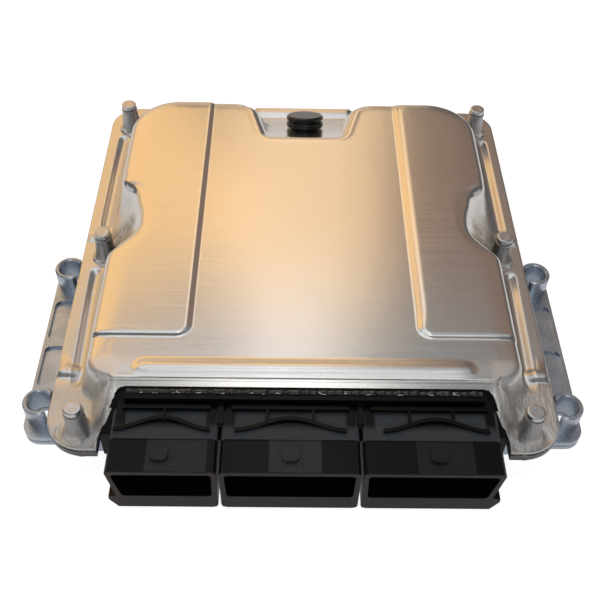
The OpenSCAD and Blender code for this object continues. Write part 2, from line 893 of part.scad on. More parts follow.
// Puts a component on the board
module on_board(x, y) {
    translate([x, y, board_top]) children();
}

module microcontroller() {
    color(chip_black) on_board(-4, 14) {
        translate([-13.5, -13.5, 0.5]) cube([27, 27, 0.6]);
        translate([-12, -12, 1.1]) cube([24, 24, 1.1]);
        for (x = [-5:5]) for (y = [-5:5]) if (max(abs(x), abs(y)) > 3)
            translate([x * 2.4 - 0.4, y * 2.4 - 0.4, 0]) cube([0.8, 0.8, 0.5]);
    }
}

module flash_memory() {
    color(chip_black) on_board(-4, 42) leaded_chip(18.4, 12, 1.2, 11, 1, false);
}

module power_supply_chip() {
    color(chip_black) on_board(22, 20) leaded_chip(14, 14, 2.4, 12, 1, true);
}

module injector_drivers() {
    color(chip_black) for (y = [-26, -4]) on_board(22, y) leaded_chip(14, 16, 2.8, 13, 1, false);
}

// The places of the power transistors, in two rows above the pads of the base
transistor_places = [for (x = [-47, 47]) for (k = [0:4]) [x, -14 + k * 16]];

module driver_transistors() {
    color(chip_black) for (p = transistor_places) on_board(p[0], p[1]) {
        translate([-4, -4.6, 0]) cube([8, 9.2, 1.2]);
        translate([-4, -4.6, 1.2]) cube([8, 9.2, 2.6]);
        for (x = [-2.5, 2.5]) translate([x - 0.5, 4.5, 0]) cube([1, 3, 0.8]);
    }
}

module thermal_pads() {
    pad_under = board_z - 0.6;
    color(pad_pink) for (x = [-54, 40]) {
        translate([x + 1, -21, pad_under]) cube([12, 78, board_z - pad_under]);
    }
}

module bus_transceivers() {
    color(chip_black) for (x = [-24, -12]) on_board(x, -32) leaded_chip(4, 5, 1.5, 4, 1.27, false);
}

module boost_capacitors() {
    r = 6.25;
    h = 14;
    color(can_silver) for (x = [-34, -18, -2]) on_board(x, 56) {
        translate([-r - 0.4, -r - 0.4, 0]) cube([2 * r + 0.8, 2 * r + 0.8, 1.6]);
        rotate_extrude()
            polygon([
                [0, 1.6], [r, 1.6], [r, 3], [r - 0.5, 3.5],
                [r, 4], [r, h - 0.8], [r - 0.8, h], [0, h]
            ]);
    }
}

module boost_coil() {
    color(ferrite) on_board(34, 65) {
        translate([-9, -9, 0]) cube([18, 18, 1.5]);
        rotate_extrude()
            polygon([
                [0, 1.5], [8.5, 1.5], [8.5, 3], [6, 3], [6, 8],
                [8.5, 8], [8.5, 9.5], [2, 9.5], [0, 8.5]
            ]);
    }
}

module filter_capacitors() {
    color(film_white) for (y = [40, 50]) for (x = [18, 28]) on_board(x, y) {
        translate([-3.6, -3, 0.2]) cube([7.2, 6, 4.6]);
        for (side = [-1, 1]) translate([side * 3.3 - 0.6, -2.4, 0]) cube([1.2, 4.8, 1]);
    }
}

module shunt_resistors() {
    color(ceramic) for (k = [0:2]) on_board(34, -36 + k * 6) {
        translate([-3.2, -1.6, 0]) cube([6.4, 3.2, 0.8]);
        for (side = [-1, 1]) translate([side * 2.8 - 0.5, -1.6, 0.8]) cube([1, 3.2, 0.15]);
    }
}

module crystal() {
    color(can_silver) on_board(-26, 14) {
        linear_extrude(0.6) pocket_outline(-2.4, -5.6, 2.4, 5.6, 2.2);
        linear_extrude(3.6) pocket_outline(-1.9, -5.1, 1.9, 5.1, 1.8);
    }
}

module pressure_sensor() {
    color(chip_black) on_board(-26, -10) {
        translate([-3.6, -3.6, 0]) cube([7.2, 7.2, 3]);
        difference() {
            translate([0, 0, 3 - eps]) cylinder(r = 2.6, h = 1.6);
            translate([0, 0, 2]) cylinder(r = 1, h = 4);
        }
    }
}

// The vent plug's own axis, square to the ramp
module at_vent() {
    translate([vent_x, vent_y, ramp_z(vent_y)])
        rotate([-ramp_slope, 0, 0])
            children();
}

module vent_seal() {
    color(rubber) at_vent()
        rotate_extrude()
            polygon([[4.3, 0], [6.6, 0], [6.8, 0.35], [6.6, 0.7], [4.3, 0.7]]);
}

module vent_body() {
    color(black_plastic) at_vent() difference() {
        rotate_extrude()
            polygon([
                [2.4, -4.2], [3.6, -4.2], [4.7, -2.2], [4.7, -1.8], [4, -1.6], [4, 0.7],
                [vent_r - 0.5, 0.7], [vent_r, 1.2], [vent_r, 2.6], [vent_r - 0.5, 3.2],
                [5.3, 3.2], [5.3, 2.5], [2.4, 2.5]
            ]);
        for (a = [0, 90]) rotate(a) translate([-6, -0.6, -5]) cube([12, 1.2, 3.4]);
    }
}

module vent_membrane() {
    color([0.9, 0.9, 0.88]) at_vent() translate([0, 0, 2.5]) cylinder(r = 5.2, h = 0.3);
}

module vent_cap() {
    color(black_plastic) at_vent() difference() {
        rotate_extrude()
            polygon([
                [5.6, 3.2], [vent_r - 0.9, 3.2], [vent_r - 0.9, 4], [vent_r, 4.2], [vent_r, 5.2],
                [vent_r - 0.7, 5.8], [0, 5.9], [0, 4.4], [5.6, 4.4]
            ]);
        for (a = [0:60:300]) rotate(a) translate([4, -0.9, 3]) cube([6, 1.8, 1]);
    }
}

base_casting();
circuit_board();
board_screws();
thermal_pads();
microcontroller();
flash_memory();
power_supply_chip();
injector_drivers();
driver_transistors();
bus_transceivers();
boost_capacitors();
boost_coil();
filter_capacitors();
shunt_resistors();
crystal();
pressure_sensor();
connector_header();
left_terminals();
middle_terminals();
right_terminals();
flange_seal();
header_seal();
cover();
cover_rivets();
vent_body();
vent_cap();
vent_membrane();
vent_seal();
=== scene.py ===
import math

import bpy
import numpy as np
from mathutils import Matrix, Vector


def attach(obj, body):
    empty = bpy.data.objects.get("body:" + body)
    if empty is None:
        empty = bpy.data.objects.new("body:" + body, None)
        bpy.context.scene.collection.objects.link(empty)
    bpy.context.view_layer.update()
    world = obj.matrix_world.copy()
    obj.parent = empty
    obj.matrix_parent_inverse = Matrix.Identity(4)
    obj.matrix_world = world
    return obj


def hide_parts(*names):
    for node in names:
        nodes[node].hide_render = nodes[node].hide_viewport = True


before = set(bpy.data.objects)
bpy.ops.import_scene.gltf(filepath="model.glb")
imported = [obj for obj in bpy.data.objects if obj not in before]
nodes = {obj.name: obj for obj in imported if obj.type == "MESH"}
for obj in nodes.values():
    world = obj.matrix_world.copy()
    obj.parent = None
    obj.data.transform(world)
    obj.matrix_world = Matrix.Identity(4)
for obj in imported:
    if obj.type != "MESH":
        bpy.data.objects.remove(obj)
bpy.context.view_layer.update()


# Base: the tray with its ears and open bolt bosses, die-cast in aluminium and left as cast.
# The copy of the solid gets the small radii that a casting has along its edges, and a satin,
# faintly mottled skin.
class Shade:
    """A socket of a shader tree, on which sums are written as Python expressions."""

    def __init__(self, tree, socket=None):
        self.tree = tree
        self.socket = socket

    def node(self, kind, settings, inputs, output=0):
        """Adds a node: its settings first, then the values or links of its sockets."""
        made = self.tree.nodes.new(kind)
        for name, value in settings.items():
            setattr(made, name, value)
        for key, value in inputs.items():
            if isinstance(value, Shade):
                self.tree.links.new(value.socket, made.inputs[key])
            else:
                made.inputs[key].default_value = value
        return Shade(self.tree, made.outputs[output])

    def math(self, operation, a, b):
        return self.node("ShaderNodeMath", {"operation": operation}, {0: a, 1: b})

    def __add__(self, other):
        return self.math("ADD", self, other)

    def __radd__(self, other):
        return self.math("ADD", other, self)

    def __sub__(self, other):
        return self.math("SUBTRACT", self, other)

    def __rsub__(self, other):
        return self.math("SUBTRACT", other, self)

    def __mul__(self, other):
        return self.math("MULTIPLY", self, other)

    def __rmul__(self, other):
        return self.math("MULTIPLY", other, self)

    def between(self, low, high):
        """0 below low, 1 above high, and a smooth rise in between."""
        return self.node(
            "ShaderNodeMapRange",
            {"interpolation_type": "SMOOTHSTEP"},
            {"Value": self, "From Min": low, "From Max": high},
        )

    def place(self, scale=(1, 1, 1)):
        """Object coordinates in millimetres, stretched by scale."""
        where = self.node("ShaderNodeTexCoord", {}, {}, "Object")
        factor = tuple(1000 * s for s in scale)
        return self.node("ShaderNodeMapping", {}, {"Vector": where, "Scale": factor})

    def axis(self, name):
        """One object coordinate in millimetres."""
        return self.node("ShaderNodeSeparateXYZ", {}, {"Vector": self.place()}, name)

    def noise(self, scale, stretch=(1, 1, 1), detail=3.0, roughness=0.55):
        """Noise whose lumps are about 1 / scale millimetres."""
        inputs = {"Vector": self.place(stretch), "Scale": scale, "Detail": detail, "Roughness": roughness}
        return self.node("ShaderNodeTexNoise", {}, inputs, "Fac")

    def blend(self, share, first, second):
        """The first colour at share 0 and the second at share 1."""
        inputs = {"Factor": share, 6: first, 7: second}
        return self.node("ShaderNodeMix", {"data_type": "RGBA"}, inputs, 2)

    def bump(self, height, strength, depth):
        """A normal from a height; depth is in millimetres."""
        inputs = {"Height": height, "Strength": strength, "Distance": depth / 1000}
        return self.node("ShaderNodeBump", {}, inputs)


def new_finish(name, constants):
    """A material with its Principled shader, its constants set on the shader's own sockets."""
    material = bpy.data.materials.new(name)
    material.use_nodes = True
    shader = material.node_tree.nodes["Principled BSDF"]
    for socket, value in constants.items():
        shader.inputs[socket].default_value = value
    return material, shader, Shade(material.node_tree)


def feed(shader, links):
    """Links values that change over the surface to the shader."""
    for socket, value in links.items():
        shader.id_data.links.new(value.socket, shader.inputs[socket])


def select_only(piece):
    """Makes a piece the only selected one, and the active one."""
    bpy.ops.object.select_all(action="DESELECT")
    piece.select_set(True)
    bpy.context.view_layer.objects.active = piece


def apply(piece, kind, settings):
    """Adds one modifier and applies it."""
    select_only(piece)
    made = piece.modifiers.new(kind.lower(), kind)
    for name, value in settings.items():
        setattr(made, name, value)
    bpy.ops.object.modifier_apply(modifier=made.name)


def edit(piece, *steps):
    """Runs edit-mode steps on the whole of a piece."""
    select_only(piece)
    bpy.ops.object.mode_set(mode="EDIT")
    for step in steps:
        bpy.ops.mesh.select_all(action="SELECT")
        step()
    bpy.ops.object.mode_set(mode="OBJECT")


def rounded_copy(node, name, radius):
    """A copy of a solid, cleaned of its triangles, with a small radius along its edges."""
    piece = bpy.data.objects.new(name, nodes[node].data.copy())
    bpy.context.scene.collection.objects.link(piece)
    piece.data.materials.clear()
    edit(
        piece,
        lambda: bpy.ops.mesh.customdata_custom_splitnormals_clear(),
        lambda: bpy.ops.mesh.remove_doubles(threshold=2e-6),
        lambda: bpy.ops.mesh.dissolve_limited(angle_limit=math.radians(0.6)),
    )
    rounding = {"width": radius / 1000, "segments": 2, "limit_method": "ANGLE", "angle_limit": math.radians(28)}
    apply(piece, "BEVEL", rounding)
    select_only(piece)
    bpy.ops.object.shade_smooth_by_angle(angle=math.radians(40))
    apply(piece, "WEIGHTED_NORMAL", {"keep_sharp": True})
    return piece


def place_piece(piece, node, material):
    """Sets a finished piece in the place of its solid."""
    piece.data.materials.append(material)
    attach(piece, "root")
    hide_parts(node)


cast_skin, shader, shade = new_finish("cast_skin", {"Metallic": 0.88})
grain = shade.noise(2.2, detail=4.0)
cloud = shade.noise(0.12, detail=3.0)
height = shade.axis("Z")
aside = shade.math("ABSOLUTE", shade.axis("X"), 0.0)
# Painted shade: the rim's side below the flange is darkened, standing for the shadow under the flange's
# overhang.
rim_side_shade = height.between(7.7, 8.0) * (1 - height.between(10.1, 10.3)) * (1 - aside.between(86.1, 86.3))
# Painted shade: a dark line round the ears' sides, standing for the shade of a step between two layers of their
# edge.
ear_step_shade = height.between(1.5, 1.8) * (1 - height.between(2.1, 2.4)) * aside.between(85.0, 86.0)
skin = shade.blend(cloud.between(0.35, 0.7), (0.48, 0.53, 0.605, 1), (0.6, 0.655, 0.745, 1))
feed(
    shader,
    {
        "Base Color": shade.blend(rim_side_shade * 0.9 + ear_step_shade * 0.75, skin, (0.09, 0.07, 0.06, 1)),
        "Roughness": 0.2 + 0.1 * cloud + 0.05 * grain,
        "Normal": shade.bump(grain + 0.5 * shade.noise(0.7), 0.15, 0.2),
    },
)
base = rounded_copy("base_casting", "base", 0.45)
place_piece(base, "base_casting", cast_skin)


# Circuit board and what it carries: laminate with solder mask, moulded chips, drawn cans, a
# ferrite coil and soft pads that lead heat to the base. Screws hold the board in the base, and
# all of it is closed in under the cover.
def dress(names, material):
    """Gives solids that are shown as they are their finish."""
    for name in names:
        nodes[name].data.materials.clear()
        nodes[name].data.materials.append(material)


def plain_finish(name, dark, light, roughness, constants, lump, depth):
    """A finish with cloudy tone, uneven gloss and a fine grain."""
    material, shader, shade = new_finish(name, constants)
    cloud = shade.noise(lump, detail=3.0)
    feed(
        shader,
        {
            "Base Color": shade.blend(cloud.between(0.3, 0.7), (*dark, 1), (*light, 1)),
            "Roughness": roughness + 0.12 * cloud,
            "Normal": shade.bump(shade.noise(lump * 12), 0.4, depth),
        },
    )
    return material


solder_mask = plain_finish("solder_mask", (0.02, 0.12, 0.06), (0.035, 0.17, 0.085), 0.3, {}, 0.3, 0.03)
dress(["circuit_board"], solder_mask)
resin = plain_finish("chip_resin", (0.02, 0.02, 0.022), (0.035, 0.035, 0.037), 0.5, {}, 0.6, 0.02)
dress(["microcontroller", "flash_memory", "power_supply_chip", "injector_drivers"], resin)
dress(["driver_transistors", "bus_transceivers", "pressure_sensor"], resin)
can = plain_finish("drawn_can", (0.68, 0.68, 0.7), (0.8, 0.8, 0.81), 0.28, {"Metallic": 1.0}, 0.5, 0.02)
dress(["boost_capacitors", "crystal"], can)
ferrite = plain_finish("sintered_ferrite", (0.04, 0.04, 0.045), (0.06, 0.06, 0.065), 0.6, {}, 0.7, 0.05)
dress(["boost_coil"], ferrite)
film_case = plain_finish("film_case", (0.7, 0.69, 0.62), (0.8, 0.79, 0.73), 0.45, {}, 0.5, 0.02)
dress(["filter_capacitors"], film_case)
ceramic = plain_finish("fired_ceramic", (0.25, 0.18, 0.12), (0.34, 0.25, 0.17), 0.6, {}, 0.9, 0.03)
dress(["shunt_resistors"], ceramic)
heat_pad = plain_finish("heat_pad", (0.5, 0.36, 0.36), (0.6, 0.44, 0.44), 0.7, {}, 0.4, 0.06)
dress(["thermal_pads"], heat_pad)
steel = plain_finish("plated_steel", (0.62, 0.62, 0.6), (0.74, 0.74, 0.71), 0.3, {"Metallic": 1.0}, 0.6, 0.02)
dress(["board_screws"], steel)


# Connector header: one block of black glass-filled plastic with three shrouds, moulded in one
# shot. The skin is semi-matt with pale dust in places. The mould has left patches of coarser grain
# on the deck and in front of each bay's middle, where a paler bluish sheen is also painted into the
# colour, and a brownish reflection is painted on the front rims of the mouths.
MOUTH, STEP_LINE = -98.0, -85.9
SHROUD_TOP, DECK_TOP = 21.6, 22.0
moulding, shader, shade = new_finish("moulded_black", {"IOR": 1.5, "Specular IOR Level": 0.16})
grain = shade.noise(3.0, detail=4.0)
dust = shade.noise(0.35, detail=5.0, roughness=0.7).between(0.6, 0.85)
sideways, back, height = shade.axis("X"), shade.axis("Y"), shade.axis("Z")
on_deck = back.between(STEP_LINE - 0.1, STEP_LINE + 0.1)
pockets = on_deck * (1 - height.between(DECK_TOP - 0.5, DECK_TOP - 0.2)) * (1 - back.between(-76, -74))
before_ridge = on_deck * (1 - back.between(-83, -79.5)) * (1 - height.between(DECK_TOP + 0.1, DECK_TOP + 0.4))
patches = pockets + before_ridge
for left, right, strength in [(-50, -31, 0.5), (-11.5, 5, 0.7), (35, 53, 0.3)]:
    in_patch = sideways.between(left, left + 0.5) * (1 - sideways.between(right, right + 0.5))
    patches = patches + strength * in_patch * (1 - on_deck) * back.between(MOUTH + 0.4, MOUTH + 0.6)
patches = patches * height.between(SHROUD_TOP - 0.7, SHROUD_TOP - 0.5)
# The patches' paler bluish grey is painted sheen, standing for the reflection of the cool lights above; their
# coarser grain is in the roughness and the bump.
grain_and_sheen = patches * (0.5 + 0.5 * grain.between(0.35, 0.65))
# Painted reflection: the front rims of the mouths get a brownish colour, standing for the brown surroundings
# they reflect.
lip_reflection = 1 - back.between(MOUTH + 0.1, MOUTH + 0.4)
plain = shade.blend(dust, (0.005, 0.005, 0.005, 1), (0.014, 0.014, 0.014, 1))
plain = shade.blend(lip_reflection, plain, (0.046, 0.038, 0.034, 1))
feed(
    shader,
    {
        "Base Color": shade.blend(grain_and_sheen, plain, (0.088, 0.104, 0.124, 1)),
        "Roughness": 0.22 + 0.12 * dust + 0.08 * grain + 0.16 * patches,
        "Normal": shade.bump(grain * (0.5 + patches), 0.25, 0.1),
    },
)
header = rounded_copy("connector_header", "header", 0.22)
place_piece(header, "connector_header", moulding)


# Contact blades of the three bays: stamped from copper alloy and tinned, bent once and pressed
# into the header. They are shown as their solids are.
tin = plain_finish("bright_tin", (0.66, 0.65, 0.61), (0.8, 0.79, 0.75), 0.22, {"Metallic": 1.0}, 0.8, 0.01)
dress(["left_terminals", "middle_terminals", "right_terminals"], tin)


# Sealant: black silicone in the joint below the flange, and the bead of it that is squeezed out
# in front of the cover's edge, glossy and lumpy. The bead starts as a bar that is cut into short
# lengths and swollen unevenly.
SQUEEZE_Y, SQUEEZE_Z = -0.0699, 0.0249
silicone, shader, shade = new_finish("black_silicone", {"Coat Weight": 0.7, "Coat Roughness": 0.03})
lumps = shade.noise(0.35, detail=2.0)
height = shade.axis("Z")
# Painted highlights: white dashes in the colour along the top of the squeezed-out bead, standing for glints of
# the lights above.
glints = shade.noise(0.5, (0.55, 0.0, 0.0), detail=1.0).between(0.55, 0.59)
glints = glints * height.between(25.28, 25.36) * (1 - height.between(25.48, 25.54))
feed(
    shader,
    {
        "Base Color": shade.blend(glints, (0.006, 0.006, 0.006, 1), (0.9, 0.9, 0.9, 1)),
        "Roughness": 0.08 + 0.1 * lumps,
        "Normal": shade.bump(lumps + 0.3 * shade.noise(0.9), 0.7, 0.7),
    },
)
dress(["flange_seal", "vent_seal"], silicone)

bpy.ops.object.select_all(action="DESELECT")
bpy.ops.mesh.primitive_cylinder_add(
    vertices=14, radius=0.00085, depth=0.116, rotation=(0, math.pi / 2, 0), location=(0, SQUEEZE_Y, SQUEEZE_Z)
)
squeeze = bpy.context.object
squeeze.name = "squeezed_sealant"
bpy.ops.object.transform_apply(location=True, rotation=True, scale=True)
edit(squeeze, lambda: bpy.ops.mesh.subdivide(number_cuts=1))
for place in np.linspace(-0.0578, 0.0578, 230):
    edit(squeeze, lambda: bpy.ops.mesh.bisect(plane_co=(place, 0, 0), plane_no=(1, 0, 0)))
for v in squeeze.data.vertices:
    x = v.co.x * 1000
    swell = 1 + 0.22 * math.sin(0.9 * x + 1.3) * math.sin(0.37 * x) + 0.14 * math.sin(2.3 * x)
    v.co.y = SQUEEZE_Y + (v.co.y - SQUEEZE_Y) * swell
    v.co.z = max(SQUEEZE_Z - 0.0001, SQUEEZE_Z + (v.co.z - SQUEEZE_Z) * swell)
select_only(squeeze)
bpy.ops.object.shade_smooth_by_angle(angle=math.radians(60))
place_piece(squeeze, "header_seal", silicone)


# Cover: aluminium sheet, deep-drawn in one piece: a pan with scalloped sides and a flange with
# pressed channels, raised side panels, a long bead, a ramped notch for the vent and a sloping apron
# over the header. It starts as one flat grid whose lines are led along the drawn edges.
COVER_TOP, LID_EDGE, FLANGE_TOP, SHEET = 27.5, 27.9, 12.5, 1.5
PAN_HALF, PAN_FRONT, PAN_BACK = 73.0, -66.8, 84.5
PAN_FRONT_R, PAN_BACK_R = 9.0, 20.0
RIM_HALF, RIM_FRONT, RIM_BACK = 86.0, -84.2, 98.0
RIM_FRONT_R, RIM_BACK_R = 13.5, 12.0
SCALLOP_FRONT, SCALLOP_BACK = -14.0, 36.0


def steps(*spans):
    """Places along a line: (start, end, step) spans joined end to end."""
    found = [spans[0][0]]
    for start, end, step in spans:
        count = max(1, round((end - start) / step))
        found += [start + (end - start) * (k + 1) / count for k in range(count)]
    return found


def smooth_min(a, b, k):
    """The smaller of two heights, blended over about k where they cross."""
    h = np.clip(0.5 + 0.5 * (b - a) / k, 0, 1)
    return b * (1 - h) + a * h - k * h * (1 - h)


def smooth_max(a, b, k):
    return -smooth_min(-a, -b, k)


def ease(t):
    """0 below 0, 1 above 1, and a smooth rise in between."""
    t = np.clip(t, 0, 1)
    return t * t * (3 - 2 * t)


right_half = steps(
    (0, 12, 4), (12, 15, 1.5), (15, 25, 0.85), (25, 36, 3.7), (36, 44, 0.65), (44, 50, 3), (50, 58, 0.7)
)
core_x = np.array([-x for x in right_half[:0:-1]] + right_half)
core_y = np.array(
    steps(
        (-56, -51, 1.7),
        (-51, -43, 0.5),
        (-43, SCALLOP_FRONT, 2.9),
        (SCALLOP_FRONT, SCALLOP_BACK, 0.9),
        (SCALLOP_BACK, 54, 2.3),
        (54, 62, 0.6),
        (62, 76, 1.0),
    )
)

# The rings outside the core: over the lid's border, round its edge, down the wall, round the root,
# out over the flange and round the flange's edge.
BORDER, EDGE, WALL, ROOT, FLANGE, ROLL = 13, 7, 5, 6, 18, 3
RINGS = BORDER + EDGE + WALL + ROOT + FLANGE + ROLL
across = len(core_x) + 2 * RINGS
along = len(core_y) + 2 * RINGS
bpy.ops.object.select_all(action="DESELECT")
bpy.ops.mesh.primitive_grid_add(x_subdivisions=across - 1, y_subdivisions=along - 1, size=1)
cover = bpy.context.object
cover.name = "drawn_cover"
co = np.empty(len(cover.data.vertices) * 3)
cover.data.vertices.foreach_get("co", co)
co = co.reshape(-1, 3)
column = np.rint((co[:, 0] + 0.5) * (across - 1)).astype(int)
row = np.rint((co[:, 1] + 0.5) * (along - 1)).astype(int)

# The side of the pan with its scallop, as a dense line with its outward direction. Each corner of
# the line is (x, y, radius).
corners = [
    (PAN_HALF, -40, 1),
    (PAN_HALF, -9, 9),
    (63.9, 3.8, 13),
    (63.9, 13, 28),
    (67.8, 24.7, 6),
    (PAN_HALF, 28.5, 8),
    (PAN_HALF, 60, 1),
]
side_line = [(PAN_HALF, SCALLOP_FRONT, 0.0)]
for before, corner, after in zip(corners, corners[1:], corners[2:]):
    e1 = Vector((corner[0] - before[0], corner[1] - before[1])).normalized()
    e2 = Vector((after[0] - corner[0], after[1] - corner[1])).normalized()
    n1, n2 = Vector((e1.y, -e1.x)), Vector((e2.y, -e2.x))
    turn = math.atan2(n1.x * n2.y - n1.y * n2.x, n1.dot(n2))
    radius = corner[2] if turn >= 0 else -corner[2]
    centre = Vector(corner[:2]) - radius * (n1 + n2) / (1 + n1.dot(n2))
    first = math.atan2(n1.y, n1.x)
    for k in range(25):
        a = first + turn * k / 24
        side_line.append((centre.x + radius * math.cos(a), centre.y + radius * math.sin(a), a))
side_line.append((PAN_HALF, SCALLOP_BACK, 0.0))
side_line = np.array(side_line)
run = np.concatenate([[0], np.cumsum(np.hypot(*np.diff(side_line[:, :2], axis=0).T))])

ring_x = np.maximum(RINGS - column, column - (across - 1 - RINGS)).clip(0)
ring_y = np.maximum(RINGS - row, row - (along - 1 - RINGS)).clip(0)
ring = np.maximum(ring_x, ring_y)
sx = np.where(column > across // 2, 1.0, -1.0)
sy = np.where(row > along // 2, 1.0, -1.0)
cx = core_x[(column - RINGS).clip(0, len(core_x) - 1)]
cy = core_y[(row - RINGS).clip(0, len(core_y) - 1)]


# Where each ring point meets the pan's outline, which way is outward there, and the point of the
# flange's edge that lies beyond it
def stretched(places, fixed, old_end, new_end):
    """Places beyond a fixed one, stretched so that the old end comes to the new end."""
    return fixed + (places - fixed) * (new_end - fixed) / (old_end - fixed)


on_side = ring_x >= ring_y
corner_share = np.where(ring > 0, np.minimum(ring_x, ring_y) / np.maximum(ring, 1), 0)
in_corner = corner_share > 0
along_side = on_side & ~in_corner
corner_r = np.where(sy > 0, PAN_BACK_R, PAN_FRONT_R)
corner_x = PAN_HALF - corner_r
corner_y = np.where(sy > 0, PAN_BACK - corner_r, PAN_FRONT + corner_r)
eighth = math.pi / 4
turned_to = np.where(on_side, corner_share * eighth, 2 * eighth - corner_share * eighth)
arc_x = corner_x + corner_r * np.cos(turned_to)
arc_y = corner_y + sy * corner_r * np.sin(turned_to)
along_line = np.clip((cy - SCALLOP_FRONT) / (SCALLOP_BACK - SCALLOP_FRONT), 0, 1) * run[-1]
line_x = np.interp(along_line, run, side_line[:, 0])
line_y = np.interp(along_line, run, side_line[:, 1])
line_a = np.interp(along_line, run, side_line[:, 2])
side_front, side_back = PAN_FRONT + PAN_FRONT_R, PAN_BACK - PAN_BACK_R
match_y = np.where(cy > SCALLOP_BACK, stretched(cy, SCALLOP_BACK, core_y[-1], side_back), line_y)
match_y = np.where(cy < SCALLOP_FRONT, stretched(cy, SCALLOP_FRONT, core_y[0], side_front), match_y)
match_x = np.abs(cx) * corner_x / core_x[-1]
pan_x = np.where(in_corner, arc_x, np.where(on_side, line_x, match_x))
pan_y = np.where(in_corner, arc_y, np.where(on_side, match_y, np.where(sy > 0, PAN_BACK, PAN_FRONT)))
out_x = np.where(in_corner, np.cos(turned_to), np.where(on_side, np.cos(line_a), 0.0))
out_y = np.where(in_corner, sy * np.sin(turned_to), np.where(on_side, np.sin(line_a), sy))
rim_r = np.where(sy > 0, RIM_BACK_R, RIM_FRONT_R)
rim_x = RIM_HALF - rim_r
rim_y = np.where(sy > 0, RIM_BACK - rim_r, RIM_FRONT + rim_r)
edge_x = np.where(on_side, RIM_HALF, match_x * rim_x / corner_x)
edge_x = np.where(in_corner, rim_x + rim_r * np.cos(turned_to), edge_x)
edge_y = np.where(on_side, match_y, np.where(sy > 0, RIM_BACK, RIM_FRONT))
edge_y = np.where(in_corner, rim_y + sy * rim_r * np.sin(turned_to), edge_y)
behind = stretched(match_y, SCALLOP_BACK, side_back, RIM_BACK - RIM_BACK_R)
ahead = stretched(match_y, SCALLOP_FRONT, side_front, RIM_FRONT + RIM_FRONT_R)
edge_y = np.where(along_side & (match_y > SCALLOP_BACK), behind, edge_y)
edge_y = np.where(along_side & (match_y < SCALLOP_FRONT), ahead, edge_y)
rim_out_x = np.where(in_corner, np.cos(turned_to), np.where(on_side, 1.0, 0.0))
rim_out_y = np.where(in_corner, sy * np.sin(turned_to), np.where(on_side, 0.0, sy))

# Each ring's step outward from the pan's outline. The edge is rounder in the scallops, and the wall
# is steeper at the front corners.
on_lid = ring <= BORDER
edge_r = 3.2 + 0.8 * ease((cy + 8) / 8) * ease((40 - cy) / 10) * along_side
front_share = np.where(in_corner, ease(turned_to / eighth), np.where(on_side, 0.0, 1.0)) * (sy < 0)
draft = 2.4 - 1.4 * front_share
root_r = 2.0 - 0.5 * front_share
share = np.clip(ring / BORDER, 0, 1)
rest_x, rest_y = pan_x - edge_r * out_x, pan_y - edge_r * out_y
top_x = np.abs(cx) * (1 - share) + rest_x * share
top_y = cy * (1 - share) + rest_y * share
to_edge = (1 - share) * np.hypot(np.abs(cx) - rest_x, cy - rest_y)

# In the scallops the wall leans, because it runs out to the straight foot of the pan's side
upright = math.pi / 2
leaning = along_side & (cy > SCALLOP_FRONT) & (cy < SCALLOP_BACK)
lean_share = ease((PAN_HALF - line_x) / 5) * leaning
foot_x = np.where(leaning, PAN_HALF + draft + root_r, pan_x + out_x * (draft + root_r))
foot_y = np.where(leaning, pan_y, pan_y + out_y * (draft + root_r))
root_x, root_y = np.where(leaning, 1.0, out_x), np.where(leaning, 0.0, out_y)
lean = np.full(len(ring), upright)
for _ in range(6):
    drop = LID_EDGE - FLANGE_TOP - (edge_r + root_r) * (1 - np.cos(lean))
    inset, before_foot = edge_r * (1 - np.sin(lean)), root_r * np.sin(lean)
    start_x, start_y = pan_x - out_x * inset, pan_y - out_y * inset
    end_x, end_y = foot_x - root_x * before_foot, foot_y - root_y * before_foot
    steep = np.arctan2(drop, np.hypot(end_x - start_x, end_y - start_y))
    lean = upright + (steep - upright) * lean_share
edge_a = np.clip((ring - BORDER) / EDGE, 0, 1) * lean
wall_t = np.clip((ring - BORDER - EDGE) / WALL, 0, 1)
root_t = np.clip((ring - BORDER - EDGE - WALL) / ROOT, 0, 1)
root_a = lean * (1 - root_t)
flange_t = np.clip((ring - BORDER - EDGE - WALL - ROOT) / FLANGE, 0, 1)
roll = np.clip(ring - (RINGS - ROLL), 0, ROLL).astype(int)
roll_in = np.array([0.75, 0.35, 0.08, 0.0])[roll]
roll_down = np.array([0.0, 0.06, 0.3, 0.75])[roll]
last_x = edge_x - rim_out_x * roll_in
last_y = edge_y - rim_out_y * roll_in
x = np.where(on_lid, top_x, pan_x - out_x * edge_r * (1 - np.sin(edge_a)))
y = np.where(on_lid, top_y, pan_y - out_y * edge_r * (1 - np.sin(edge_a)))
x = np.where(wall_t > 0, start_x * (1 - wall_t) + end_x * wall_t, x)
y = np.where(wall_t > 0, start_y * (1 - wall_t) + end_y * wall_t, y)
x = np.where(root_t > 0, foot_x - root_x * root_r * np.sin(root_a), x)
y = np.where(root_t > 0, foot_y - root_y * root_r * np.sin(root_a), y)
x = np.where(flange_t > 0, foot_x * (1 - flange_t) + last_x * flange_t, x)
y = np.where(flange_t > 0, foot_y * (1 - flange_t) + last_y * flange_t, y)
x = np.where(ring == 0, np.abs(cx), x)
y = np.where(ring == 0, cy, y)

